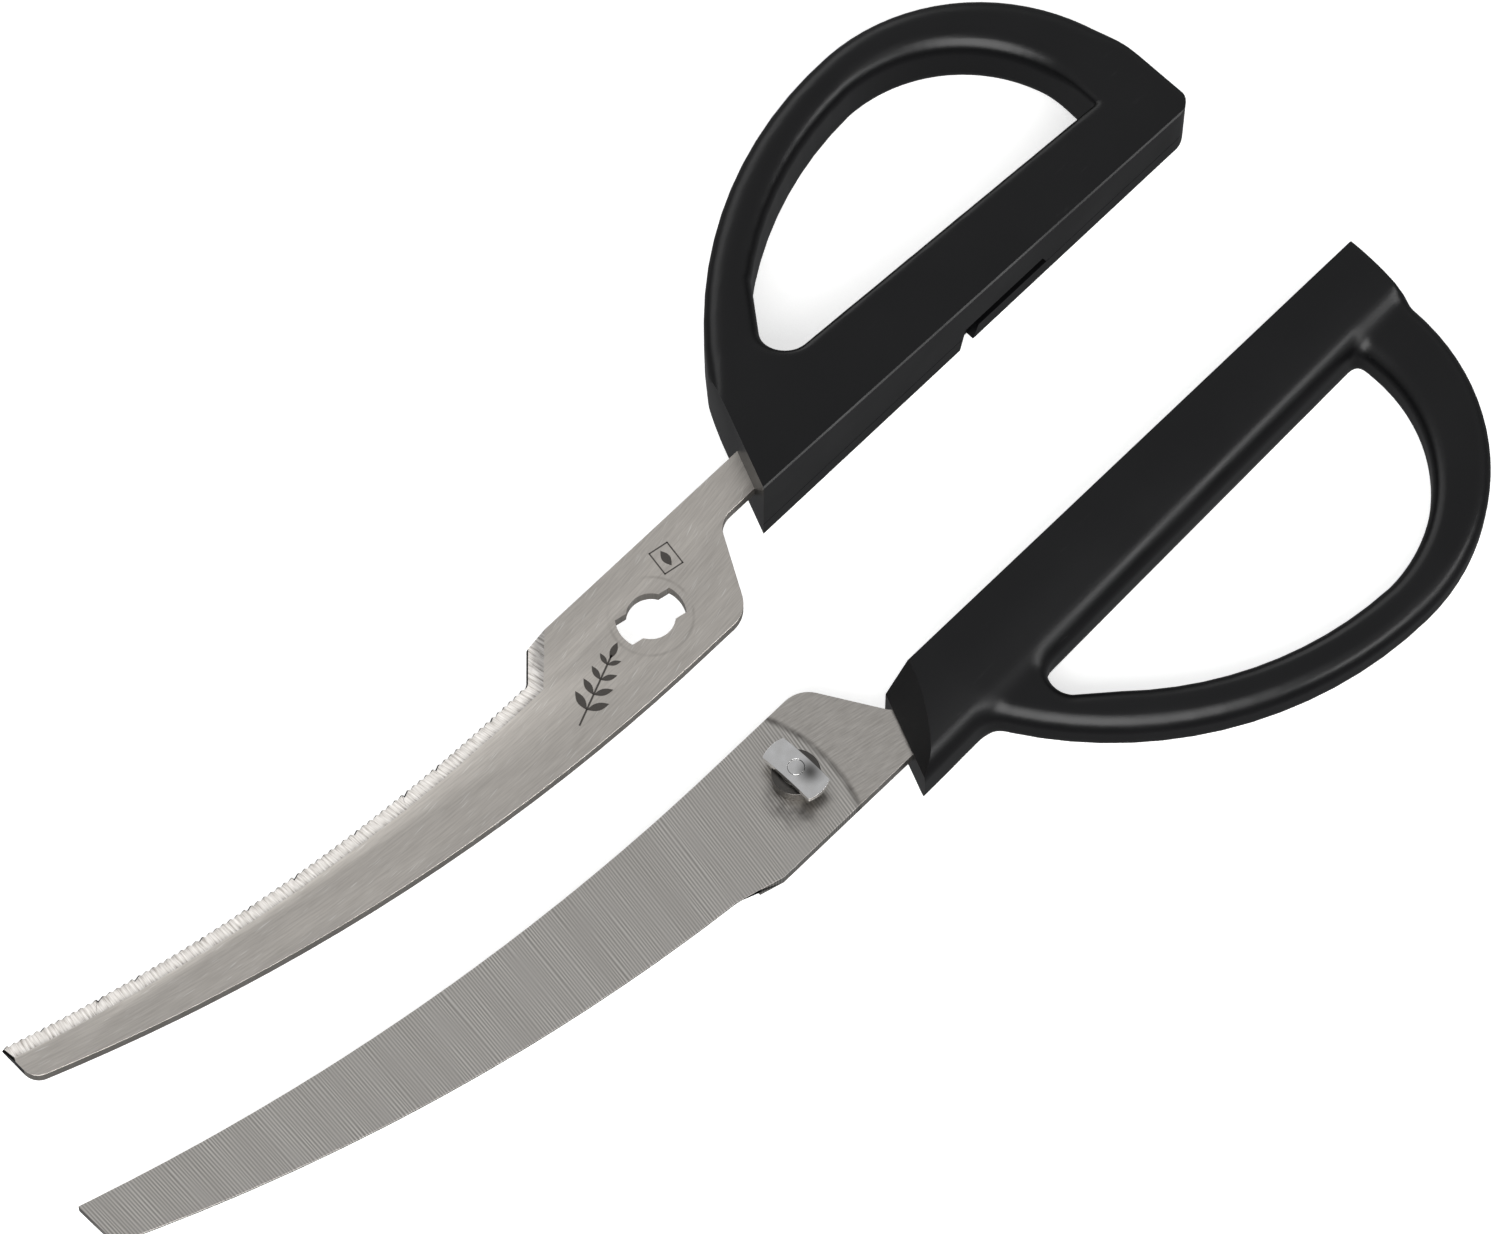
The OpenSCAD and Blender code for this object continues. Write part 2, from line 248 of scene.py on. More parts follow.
def wheel_marks(tree, centre, radius, round_size, out_size, detail=3.0, seed=0.0):
    """Noise whose grains are round_size long round the centre and out_size long away from it."""
    around, away = wheel_place(tree, centre, radius)
    grains_round = add(tree, "ShaderNodeMath", {"operation": "MULTIPLY", 1: 1 / round_size}, {0: around})
    grains_out = add(tree, "ShaderNodeMath", {"operation": "MULTIPLY", 1: 1 / out_size}, {0: away})
    grain = add(tree, "ShaderNodeCombineXYZ", {"Z": seed}, {"X": grains_round, "Y": grains_out})
    return add(tree, "ShaderNodeTexNoise", {"Scale": 1.0, "Detail": detail, "Roughness": 0.6},
               {"Vector": grain})


def wheel_grooves(tree, centre, radius, pitch):
    """Even grooves along rays from a far centre, 0 to 1, that waver and fade in places."""
    waver_turn = 9.0
    around, _ = wheel_place(tree, centre, radius)
    unsteady = wheel_marks(tree, centre, radius, round_size=1.5, out_size=60, detail=1, seed=11)
    waver = add(tree, "ShaderNodeMath", {"operation": "MULTIPLY", 1: waver_turn}, {0: unsteady})
    phase = add(tree, "ShaderNodeMath", {"operation": "MULTIPLY_ADD", 1: 2 * math.pi / pitch},
                {0: around, 2: waver})
    wave = add(tree, "ShaderNodeMath", {"operation": "SINE"}, {0: phase})
    patches = wheel_marks(tree, centre, radius, round_size=4, out_size=9, detail=2, seed=13)
    strength = add(tree, "ShaderNodeMapRange", {**NOISE_REACH, "To Min": 0.1, "To Max": 0.5},
                   {"Value": patches})
    return add(tree, "ShaderNodeMath", {"operation": "MULTIPLY_ADD", 2: 0.5}, {0: wave, 1: strength})


def ring(tree, centre, radius, width):
    """1 on a circle about a place and 0 beyond half a width on either side of it."""
    flat = add(tree, "ShaderNodeVectorMath", {"operation": "MULTIPLY", 1: FLAT},
               {0: about(tree, centre)})
    reach = add(tree, "ShaderNodeVectorMath", {"operation": "LENGTH"}, {0: flat})
    off = add(tree, "ShaderNodeMath", {"operation": "SUBTRACT", 1: radius}, {0: reach.outputs["Value"]})
    gap = add(tree, "ShaderNodeMath", {"operation": "ABSOLUTE"}, {0: off})
    return add(tree, "ShaderNodeMapRange",
               {"interpolation_type": "SMOOTHSTEP", "From Min": 0.0, "From Max": width / 2,
                "To Min": 1.0, "To Max": 0.0}, {"Value": gap})


print("noise is stretched between", NOISE_REACH["From Min"], "and", NOISE_REACH["From Max"])

# %% [markdown]
# ## From patterns to a finish
# Every finish here is told in the same three steps: two tones that follow a pattern, patches or
# scratches laid over them, and at last the gloss and a shallow relief. A noise pattern lies
# mostly between 0.3 and 0.7, so that is the part of it that usually gets stretched.

# %% Tones, patches and relief
COLOUR_A, COLOUR_B, MIXED = 6, 7, 2


def two_tones(tree, pattern, dark, light, start=0.3, stop=0.7):
    """A colour that goes from dark to light, in hex, as a pattern goes from start to stop."""
    share = add(tree, "ShaderNodeMapRange", {"From Min": start, "From Max": stop}, {"Value": pattern})
    mix = add(tree, "ShaderNodeMix",
              {"data_type": "RGBA", COLOUR_A: linear(dark), COLOUR_B: linear(light)}, {0: share})
    return mix.outputs[MIXED]


def laid_over(tree, colour, pattern, most, tone, start=0.0, stop=1.0):
    """A colour that gives way to a hex tone, at most by that share, as a pattern rises."""
    share = add(tree, "ShaderNodeMapRange", {"From Min": start, "From Max": stop, "To Max": most},
                {"Value": pattern})
    mix = add(tree, "ShaderNodeMix", {"data_type": "RGBA", COLOUR_B: linear(tone)},
              {0: share, COLOUR_A: colour})
    return mix.outputs[MIXED]


def finish(tree, shader, colour, gloss, roughness, relief, depth, start=0.3, stop=0.7):
    """Links a colour, roughness that follows one pattern and relief, depth in mm, from another."""
    rough = add(tree, "ShaderNodeMapRange",
                {"From Min": start, "From Max": stop, "To Min": roughness[0], "To Max": roughness[1]},
                {"Value": gloss})
    bump = add(tree, "ShaderNodeBump", {"Strength": 1.0, "Distance": depth * MM}, {"Height": relief})
    tree.links.new(colour, shader.inputs["Base Color"])
    tree.links.new(rough.outputs[0], shader.inputs["Roughness"])
    tree.links.new(bump.outputs[0], shader.inputs["Normal"])


print("steps of a finish:", two_tones.__name__, laid_over.__name__, finish.__name__)

# %% [markdown]
# ## Satined stainless steel
# The serrated blade is martensitic stainless, satined lengthwise with a belt. It looks a
# warm, even grey, with short bright scratches along the blade and no clear reflections.
# The grit leaves marks about 0.05 mm apart, which is finer than shows here, so they are
# drawn 0.3 mm apart. A faint ring round the keyhole is where the collar has rubbed.

# %% Satined steel
edge_arc_r = 308.0
edge_arc_centre = row_point("serrated_half", -25, 314.1)
keyhole_centre = row_point("serrated_half", 0, 0)
scratch_r = 200
scratch_centre = row_point("serrated_half", -60, scratch_r)
rub_r = 6.6
rub_w = 0.8


def satined_steel():
    material, tree, shader = new_material("satined_stainless", {"Metallic": 1.0})
    marks = wheel_marks(tree, edge_arc_centre, edge_arc_r, round_size=5, out_size=0.3, detail=2)
    broad = wheel_marks(tree, edge_arc_centre, edge_arc_r, round_size=30, out_size=5, seed=7)
    scratches = wheel_marks(tree, scratch_centre, scratch_r, round_size=4, out_size=0.25, detail=1, seed=3)
    rub_ring = ring(tree, keyhole_centre, rub_r, rub_w)
    patchy = add(tree, "ShaderNodeMapRange", {"From Min": 0.4, "From Max": 0.55}, {"Value": broad})
    rubbed = add(tree, "ShaderNodeMath", {"operation": "MULTIPLY"}, {0: rub_ring, 1: patchy})
    colour = two_tones(tree, marks, "#cdc7bf", "#e2dcd4")
    colour = laid_over(tree, colour, scratches, 0.6, "#fbf8f3", start=0.66, stop=0.72)
    colour = laid_over(tree, colour, rubbed, 0.4, "#a39d96")
    finish(tree, shader, colour, broad, (0.32, 0.42), marks, 0.004)
    return material


SATINED = satined_steel()
print("satined steel:", len(SATINED.node_tree.nodes), "nodes")

# %% [markdown]
# ## Ground bevel
# The cutting bevel is ground across the edge with a fine wheel after satining. It is the
# brightest steel on the shears, because it tilts towards the light, and its marks run
# square to the edge, about 0.35 mm apart. The gullets between the teeth lie in shade, and that
# shade is painted on them as nearly black steel, with the same marks.

# %% Ground bevel
def ground_bevel(name, centre, radius, dark, light):
    material, tree, shader = new_material(name, {"Metallic": 1.0})
    marks = wheel_marks(tree, centre, radius, round_size=0.35, out_size=5, detail=2)
    finish(tree, shader, two_tones(tree, marks, dark, light), marks, (0.24, 0.36), marks, 0.012)
    return material


plain_arc_r = 330.0
plain_arc_centre = row_point("plain_half", 12, 320.5)
SERRATED_BEVEL = ground_bevel("ground_bevel", edge_arc_centre, edge_arc_r, "#a09b95", "#f4f0eb")
# The gullet material is painted shade: nearly black steel standing for the shade between the teeth.
GULLET_SHADE = ground_bevel("gullet_painted_shade", edge_arc_centre, edge_arc_r, "#131312", "#2b2a28")
PLAIN_BEVEL = ground_bevel("plain_bevel", plain_arc_centre, plain_arc_r, "#aaa59e", "#e6e2dc")
print("ground bevels:", SERRATED_BEVEL.name, GULLET_SHADE.name, PLAIN_BEVEL.name)

# %% [markdown]
# ## Cross-ground steel
# The inner face of the plain blade is ground flat on a wheel that runs across it. Its
# grooves are 0.48 mm apart and plain to see, and they fan out very slightly along the blade.
# The wheel stopped on a curved shoulder just past the pivot, a shallow step whose shading is
# painted on as a dark line, and the neck beyond it keeps the finer face of the rolled sheet, with
# marks lengthwise. Round the lock bar a dark patch is painted on, which stands for the bar's shadow and
# reflection.

# %% Cross-ground steel
fan_r = 857.0
fan_centre = row_point("plain_half", -169, -846)
groove_pitch = 0.48
shoulder_centre = row_point("plain_half", -21.4, 0.5)
shoulder_r = 27.0
shoulder_blur = 0.3
shoulder_shade_w = 1.7
plain_pivot = row_point("plain_half", 0, 0)
shade_centre = row_point("plain_half", -2.0, -2.5)
shade_r = 2.5
shade_w = 8.0


def cross_ground_steel():
    material, tree, shader = new_material("cross_ground_stainless", {"Metallic": 1.0})
    grooves = wheel_grooves(tree, fan_centre, fan_r, groove_pitch)
    bands = wheel_marks(tree, fan_centre, fan_r, round_size=5, out_size=50, detail=2, seed=5)
    rolled = wheel_marks(tree, fan_centre, fan_r, round_size=3, out_size=0.3, seed=9)
    blotch = add(tree, "ShaderNodeTexNoise", {"Scale": 0.35, "Detail": 3.0},
                 {"Vector": about(tree, plain_pivot)})

    flat = add(tree, "ShaderNodeVectorMath", {"operation": "MULTIPLY", 1: FLAT},
               {0: about(tree, shoulder_centre)})
    reach = add(tree, "ShaderNodeVectorMath", {"operation": "LENGTH"}, {0: flat})
    along = add(tree, "ShaderNodeSeparateXYZ", links={0: flat})
    beyond = add(tree, "ShaderNodeMapRange",
                 {"From Min": shoulder_r - shoulder_blur, "From Max": shoulder_r + shoulder_blur},
                 {"Value": reach.outputs["Value"]})
    handle_side = add(tree, "ShaderNodeMapRange", links={"Value": along.outputs["X"]})
    neck = add(tree, "ShaderNodeMath", {"operation": "MULTIPLY"}, {0: beyond, 1: handle_side})

    ground = two_tones(tree, grooves, "#a8a49e", "#f0ece6", start=0.0, stop=1.0)
    ground = laid_over(tree, ground, bands, 0.25, "#b4afa8", start=0.3, stop=0.7)
    sheet = two_tones(tree, rolled, "#bcb7b0", "#dad5ce")
    mix = add(tree, "ShaderNodeMix", {"data_type": "RGBA"}, {0: neck, COLOUR_A: ground, COLOUR_B: sheet})
    colour = mix.outputs[MIXED]

    uneven = add(tree, "ShaderNodeMapRange", {**NOISE_REACH, "To Min": 0.3}, {"Value": blotch})
    # The dark line along the shoulder is painted shade of the shallow step there.
    step = add(tree, "ShaderNodeMath", {"operation": "MULTIPLY"},
               {0: ring(tree, shoulder_centre, shoulder_r, shoulder_shade_w), 1: handle_side})
    line = add(tree, "ShaderNodeMath", {"operation": "MULTIPLY"}, {0: step, 1: uneven})
    colour = laid_over(tree, colour, line, 0.8, "#55514d")

    mottled = add(tree, "ShaderNodeMapRange", {"From Min": 0.35, "From Max": 0.6, "To Min": 0.2},
                  {"Value": blotch})
    shade = add(tree, "ShaderNodeMath", {"operation": "MULTIPLY"},
                {0: ring(tree, shade_centre, shade_r, shade_w), 1: mottled})
    colour = laid_over(tree, colour, shade, 0.7, "#4f4b48")
    finish(tree, shader, colour, grooves, (0.3, 0.4), grooves, 0.006, start=0.0, stop=1.0)
    return material


CROSS_GROUND = cross_ground_steel()
print("cross-ground steel:", len(CROSS_GROUND.node_tree.nodes), "nodes, pitch", groove_pitch, "mm")

# %% [markdown]
# ## Polished and turned steel
# The lock bar is a tumbled and polished stamping. Being bowed, it mirrors something dark near
# its middle, and as this stage has nothing so dark, a patch is painted on in its place. The post
# under it is turned in a lathe, and its tool marks are rings about 0.1 mm apart, drawn here
# 0.3 mm apart. Its steel is painted darker than bare steel is: painted shade, as it lies in the
# shade of the bar.

# %% Polished steel and turned steel
patch_centre = row_point("plain_half", 1.0, -2.0)
patch_w = 5.6
turning_r = 4


def polished_steel():
    material, tree, shader = new_material("polished_stainless", {"Metallic": 1.0})
    haze = add(tree, "ShaderNodeTexNoise", {"Scale": 0.7, "Detail": 4.0},
               {"Vector": about(tree, plain_pivot)})
    dark_patch = ring(tree, patch_centre, 0.0, patch_w)
    colour = two_tones(tree, haze, "#e9e7e4", "#ffffff", start=0.0, stop=1.0)
    colour = laid_over(tree, colour, dark_patch, 0.85, "#3f3d3a")
    finish(tree, shader, colour, haze, (0.08, 0.2), haze, 0.01)
    return material


def turned_steel():
    material, tree, shader = new_material("turned_stainless", {"Metallic": 1.0})
    rings = wheel_marks(tree, plain_pivot, turning_r, round_size=20, out_size=0.3)
    # The dark tones are painted shade of the lock bar over the post.
    colour = two_tones(tree, rings, "#4a4846", "#73706c", start=0.0, stop=1.0)
    finish(tree, shader, colour, rings, (0.25, 0.4), rings, 0.01)
    return material


POLISHED = polished_steel()
TURNED = turned_steel()
print("small steel finishes:", POLISHED.name, TURNED.name)

# %% [markdown]
# ## Black moulded plastic
# The handles are black ABS from a steel mould with a fine spark-eroded skin. Black takes all
# the light, so the eye reads only the satin gloss: broad soft highlights where the moulding
# turns, broken up by the skin, which has a grain of about 0.4 mm, and a few scuffs.

# %% Black ABS
SCUFF_STRETCH = (0.12, 1.6, 0.9)


def black_abs():
    material, tree, shader = new_material("black_abs", {
        "Metallic": 0.0, "IOR": 1.5, "Specular IOR Level": 0.38,
    })
    place = about(tree, plain_pivot)
    skin_grain = add(tree, "ShaderNodeTexNoise", {"Scale": 2.5, "Detail": 3.0}, {"Vector": place})
    flow = add(tree, "ShaderNodeTexNoise", {"Scale": 0.06, "Detail": 2.0}, {"Vector": place})
    drawn = add(tree, "ShaderNodeVectorMath", {"operation": "MULTIPLY", 1: SCUFF_STRETCH}, {0: place})
    scuffs = add(tree, "ShaderNodeTexNoise", {"Scale": 1.0, "Detail": 4.0, "Roughness": 0.7},
                 {"Vector": drawn})
    rare = add(tree, "ShaderNodeMapRange", {"From Min": 0.66, "From Max": 0.78}, {"Value": scuffs})
    handled = add(tree, "ShaderNodeMapRange", {"From Min": 0.45, "From Max": 0.6}, {"Value": flow})
    scuff = add(tree, "ShaderNodeMath", {"operation": "MULTIPLY"}, {0: rare, 1: handled})
    colour = two_tones(tree, skin_grain, "#020203", "#050506", start=0.0, stop=1.0)
    colour = laid_over(tree, colour, scuff, 0.4, "#3a3a3b")
    finish(tree, shader, colour, flow, (0.3, 0.4), skin_grain, 0.008)
    return material


ABS = black_abs()
print("black plastic:", len(ABS.node_tree.nodes), "nodes")

# %% [markdown]
# ## Etched motif
# Makers etch a mark on the blade: acid turns the steel a dull dark grey. A plain leafy sprig
# stands for it here, and a small framed leaf for the one near the neck.

# %% Etched steel
def etched_steel():
    material, tree, shader = new_material("etched_stainless", {"Metallic": 0.6})
    pits = add(tree, "ShaderNodeTexNoise", {"Scale": 5.0, "Detail": 3.0},
               {"Vector": about(tree, keyhole_centre)})
    colour = two_tones(tree, pits, "#3d3a37", "#5a5652", start=0.0, stop=1.0)
    finish(tree, shader, colour, pits, (0.5, 0.7), pits, 0.01)
    return material


ETCHED = etched_steel()
print("etched steel:", len(ETCHED.node_tree.nodes), "nodes")

# %% [markdown]
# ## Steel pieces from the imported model
# The blades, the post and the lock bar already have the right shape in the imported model, but
# their edges are mathematically sharp, and no real edge is. Each gets a working copy with
# its triangles merged, and then a small bevel that catches the light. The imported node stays
# as it was, hidden behind its copy.

# %% Bench copies
merge_reach = 0.004
flat_angle = math.radians(0.6)
crease_angle = math.radians(30)
eased_angle = math.radians(40)


def put(mesh, name, half):
    """Makes a piece in the row frame from a mesh in millimetres about its half's pivot."""
    mesh.transform(Matrix.Translation(HALF_ORIGIN[half]) @ Matrix.Scale(MM, 4))
    piece = bpy.data.objects.new(name, mesh)
    bpy.context.collection.objects.link(piece)
    return piece


def bench_copy(node, half):
    """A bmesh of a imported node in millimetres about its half's pivot, with flat faces merged."""
    bm = bmesh.new()
    bm.from_mesh(frame["nodes"][node].data)
    for layer in list(bm.loops.layers.float_vector.keys()):
        bm.loops.layers.float_vector.remove(bm.loops.layers.float_vector[layer])
    bm.transform(Matrix.Scale(1 / MM, 4) @ Matrix.Translation(-HALF_ORIGIN[half]))
    bmesh.ops.remove_doubles(bm, verts=bm.verts, dist=merge_reach)
    bmesh.ops.dissolve_limit(bm, angle_limit=flat_angle, verts=bm.verts, edges=bm.edges)
    bm.normal_update()
    return bm


def to_mesh(bm, name):
    """A smooth-shaded mesh from a bmesh, which stays sharp where faces meet in a crease."""
    mesh = bpy.data.meshes.new(name)
    bm.to_mesh(mesh)
    bm.free()
    for layer in [a.name for a in mesh.attributes if a.name == "custom_normal"]:
        mesh.attributes.remove(mesh.attributes[layer])
    mesh.shade_smooth()
    mesh.set_sharp_from_angle(angle=crease_angle)
    return mesh


def applied(piece):
    """Turns a piece's modifiers into its own mesh."""
    shape = bpy.data.meshes.new_from_object(
        piece.evaluated_get(bpy.context.evaluated_depsgraph_get()))
    piece.modifiers.clear()
    piece.data = shape
    return piece


def ease_edges(piece, width, segments=2):
    """Breaks a piece's sharp edges by a bevel of that width in millimetres."""
    bevel = piece.modifiers.new("eased_edges", "BEVEL")
    bevel.width = width * MM
    bevel.segments = segments
    bevel.limit_method = "ANGLE"
    bevel.angle_limit = eased_angle
    bevel.harden_normals = True
    return applied(piece)


print("bench copies: points within", merge_reach, "mm are merged")

# %% [markdown]
# ## The serrated blade
# Its outer face shows three regions: the satined flat, the bright bevel with the teeth, and a
# spine whose edge is taken off so that it doesn't hurt the palm. That chamfer is wider than the
# other edges', so it is cut first, edge by edge. The walls of the teeth that look towards the
# tip lie in shade, and they and a small facet along each are painted dark for it.

# %% Serrated blade
spine_chamfer = 0.8
gullet_facet = 0.45
keyhole_reach = 7.0


def is_outer_spine(edge):
    """True for an edge between the top face and a wall that looks away from the teeth."""
    if len(edge.link_faces) != 2:
        return False
    top, wall = sorted(edge.link_faces, key=lambda f: -f.normal.z)
    near_hole = edge.verts[0].co.xy.length < keyhole_reach
    upright = abs(wall.normal.z) < 0.1
    return top.normal.z > 0.99 and upright and wall.normal.y < -0.05 and not near_hole


def lay_materials(bm, bevel_side):
    """Material 1 goes to the faces that slope gently towards the given side: the bevels."""
    for face in bm.faces:
        sloped = 0.5 < abs(face.normal.z) < 0.95
        face.material_index = int(sloped and face.normal.y * bevel_side > 0.2)


def is_gullet(edge):
    """True for an edge between the bevel and a tooth's wall that looks towards the tip."""
    if len(edge.link_faces) != 2:
        return False
    slope, wall = sorted(edge.link_faces, key=lambda f: -abs(f.normal.z))
    return slope.material_index == 1 and abs(wall.normal.z) < 0.1 and wall.normal.x < -0.1


bm = bench_copy("serrated_blade", "serrated_half")
lay_materials(bm, bevel_side=1)
gullets = [e for e in bm.edges if is_gullet(e)]
# Material 2 paints the shade on the tooth walls and on a small facet along each.
for face in bm.faces:
    if any(face in e.link_faces for e in gullets) and face.material_index == 0:
        face.material_index = 2
bmesh.ops.bevel(bm, geom=gullets, offset=gullet_facet, segments=1, affect="EDGES", material=2,
                clamp_overlap=True)
spine_edges = [e for e in bm.edges if is_outer_spine(e)]
bmesh.ops.bevel(bm, geom=spine_edges, offset=spine_chamfer, segments=1,
                affect="EDGES", material=0, clamp_overlap=True)
serrated = put(to_mesh(bm, "serrated_blade_ground"), "serrated_blade_ground", "serrated_half")
serrated.data.materials.append(SATINED)
serrated.data.materials.append(SERRATED_BEVEL)
serrated.data.materials.append(GULLET_SHADE)
ease_edges(serrated, 0.06, segments=1)
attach(serrated, "serrated_half")
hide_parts("serrated_blade")
print("serrated blade: spine edges", len(spine_edges), "gullet edges", len(gullets))
print("serrated blade: faces", len(serrated.data.polygons))

# %% [markdown]
# ## The plain blade
# It lies with its inner face up, so its own bevel is underneath. Its edges are only eased.

# %% Plain blade
bm = bench_copy("plain_blade", "plain_half")
lay_materials(bm, bevel_side=-1)
plain = put(to_mesh(bm, "plain_blade_ground"), "plain_blade_ground", "plain_half")
plain.data.materials.append(CROSS_GROUND)
plain.data.materials.append(PLAIN_BEVEL)
ease_edges(plain, 0.12)
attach(plain, "plain_half")
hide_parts("plain_blade")
print("plain blade: faces", len(plain.data.polygons))

# %% [markdown]
# ## Post and lock bar
# The post is turned and the bar is stamped and bowed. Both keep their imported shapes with
# eased edges. The bar's rounding is generous, as tumbling leaves it. The post's upper end is
# riveted into the bar and polished with it.

# %% Post and lock bar
post = put(to_mesh(bench_copy("pivot_post", "plain_half"), "turned_post"), "turned_post", "plain_half")
post.data.materials.append(TURNED)
post.data.materials.append(POLISHED)
riveted_end = max(v.co.z for v in post.data.vertices) - 0.5 * MM
for face in post.data.polygons:
    face.material_index = int(face.center.z > riveted_end)
ease_edges(post, 0.1)
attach(post, "pivot")
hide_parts("pivot_post")

bar = put(to_mesh(bench_copy("lock_bar", "plain_half"), "bowed_lock_bar"),
          "bowed_lock_bar", "plain_half")
bar.data.materials.append(POLISHED)
ease_edges(bar, 0.3, segments=4)
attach(bar, "plain_half")
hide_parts("lock_bar")
print("post and lock bar: faces", len(post.data.polygons), len(bar.data.polygons))

# %% [markdown]
# ## Etched sprig
# The motif is a few thin leaves that stand 0.02 mm over the blade, so that it shows as drawn.
# A leaf is two arcs that meet at its points, and a loop sets leaves along a stem.

# %% Etched sprig
etch_height = 0.02
blade_top = extent("serrated_blade", "serrated_half")[1].z


def leaf(length, width, place, angle):
    """Outline of a pointed leaf from its foot at place."""
    steps = 8
    side = [(length * i / steps, width / 2 * math.sin(math.pi * i / steps)) for i in range(steps + 1)]
    outline = side + [(x, -y) for x, y in side[-2:0:-1]]
    c, s = math.cos(angle), math.sin(angle)
    return [(place[0] + c * x - s * y, place[1] + s * x + c * y) for x, y in outline]


def strip(start, stop, width):
    """Outline of a straight line of that width."""
    along = (Vector(stop) - Vector(start)).normalized() * width / 2
    across = Vector((-along.y, along.x))
    corners = [Vector(start) - along - across, Vector(stop) + along - across,
               Vector(stop) + along + across, Vector(start) - along + across]
    return [tuple(p) for p in corners]


def raised(outlines, low, high):
    """A bmesh of separate flat plates with those outlines."""
    bm = bmesh.new()
    for outline in outlines:
        face = bm.faces.new([bm.verts.new((x, y, low)) for x, y in outline])
        grown = bmesh.ops.extrude_face_region(bm, geom=[face])["geom"]
        bmesh.ops.translate(bm, verts=[v for v in grown if isinstance(v, bmesh.types.BMVert)],
                            vec=(0, 0, high - low))
    bmesh.ops.recalc_face_normals(bm, faces=bm.faces)
    return bm


def sprig():
    """Leaves in pairs along a straight stem, smaller towards its end, and one at the end."""
    foot, stem_angle, stem_w = Vector((-20.5, -5.0)), math.radians(22), 0.3
    pairs, gap = 4, 2.7
    longest, shorter, plumpness = 3.6, 0.45, 0.36
    splay = math.radians(52)
    ahead = Vector((math.cos(stem_angle), math.sin(stem_angle)))
    outlines = [strip(foot, foot + ahead * gap * (pairs + 0.6), stem_w)]
    for i in range(pairs):
        joint = foot + ahead * gap * (i + 1)
        size = longest - shorter * i
        for side in (-1, 1):
            outlines.append(leaf(size, size * plumpness, joint, stem_angle + side * splay))
    outlines.append(leaf(3.0, 1.1, foot + ahead * gap * (pairs + 0.4), stem_angle))
    return outlines


def framed_leaf():
    """A small frame with one leaf in it."""
    centre, angle, line_w = Vector((8.6, 5.2)), math.radians(80), 0.22
    half_long = 2.1
    half_short = half_long * 0.8
    turn = Matrix.Rotation(angle, 2)
    corners = [centre + turn @ Vector((sx * half_long, sy * half_short))
               for sx, sy in ((-1, -1), (1, -1), (1, 1), (-1, 1))]
    outlines = [strip(corners[i], corners[(i + 1) % 4], line_w) for i in range(4)]
    leaf_l, leaf_w = 3.0, 1.4
    foot = centre + turn @ Vector((-leaf_l / 2, 0))
    outlines.append(leaf(leaf_l, leaf_w, foot, angle))
    return outlines


plates = raised(sprig() + framed_leaf(), blade_top - etch_height, blade_top + etch_height)
motif = put(to_mesh(plates, "etched_sprig"), "etched_sprig", "serrated_half")
motif.data.materials.append(ETCHED)
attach(motif, "serrated_half")
print("etched motif: faces", len(motif.data.polygons))

# %% [markdown]
# ## Moulded handles
# A moulding has soft edges everywhere except where a face must fit flat. Such a shape is
# easy to say as distances: for every point of a grid, how far it lies from the surface, with
# minus inside. Two distances can meet in a rounded edge or run together through a hollow.
# The surface is then drawn where the distance is zero, as Volume to Mesh does, and only the
# flat faces are sliced afterwards, so that they stay crisp.

# %% Outlines and distances
def arc(centre, radius, start, stop):
    """Points on an arc in degrees, about every 4 degrees, both ends included."""
    steps = max(2, round(abs(stop - start) / 4))
    angles = [math.radians(start + (stop - start) * i / steps) for i in range(steps + 1)]
    return [(centre[0] + radius * math.cos(a), centre[1] + radius * math.sin(a)) for a in angles]


def outline_distance(outline, x, y):
    """Distance from each point of a flat grid to a closed outline, negative inside it."""
    nearest = np.full(np.broadcast(x, y).shape, np.inf)
    inside = np.zeros(nearest.shape, bool)
    for (ax, ay), (bx, by) in zip(outline, outline[1:] + outline[:1]):
        run, rise = bx - ax, by - ay
        share = np.clip(((x - ax) * run + (y - ay) * rise) / (run * run + rise * rise), 0, 1)
        nearest = np.minimum(nearest, np.hypot(x - ax - share * run, y - ay - share * rise))
        if rise:
            inside ^= ((ay > y) != (by > y)) & (x < ax + run * (y - ay) / rise)
    return np.where(inside, -nearest, nearest)


def meet(first, second, radius):
    """What two solids share, with the edge between them rounded."""
    a, b = first + radius, second + radius
    return np.minimum(np.maximum(a, b), 0) + np.hypot(np.maximum(a, 0), np.maximum(b, 0)) - radius


def run_together(first, second, radius):
    """Two solids as one, with a hollow between them."""
    share = np.clip(0.5 + 0.5 * (second - first) / radius, 0, 1)
    return second * (1 - share) + first * share - radius * share * (1 - share)


def ease(value, start, stop):
    """0 before start and 1 after stop, with a smooth way between."""
    share = np.clip((value - start) / (stop - start), 0, 1)
    return share * share * (3 - 2 * share)


def block_of_points(low, high, cell):
    """Coordinates of an even grid between two corners, each as an array of its own."""
    axes = [np.arange(a, b + cell, cell) for a, b in zip(low, high)]
    return np.meshgrid(*axes, indexing="ij", sparse=True)


def skin(distance, low, cell):
    """A bmesh of the surface where the distance is zero."""
    grid = openvdb.FloatGrid(10.0)
    grid.copyFromArray(np.ascontiguousarray(distance, dtype=np.float32))
    points, quads = grid.convertToQuads()
    mesh = bpy.data.meshes.new("skin")
    mesh.from_pydata((points * cell + np.array(low)).tolist(), [], quads.tolist())
    bm = bmesh.new()
    bm.from_mesh(mesh)
    bpy.data.meshes.remove(mesh)
    bmesh.ops.recalc_face_normals(bm, faces=bm.faces)
    return bm


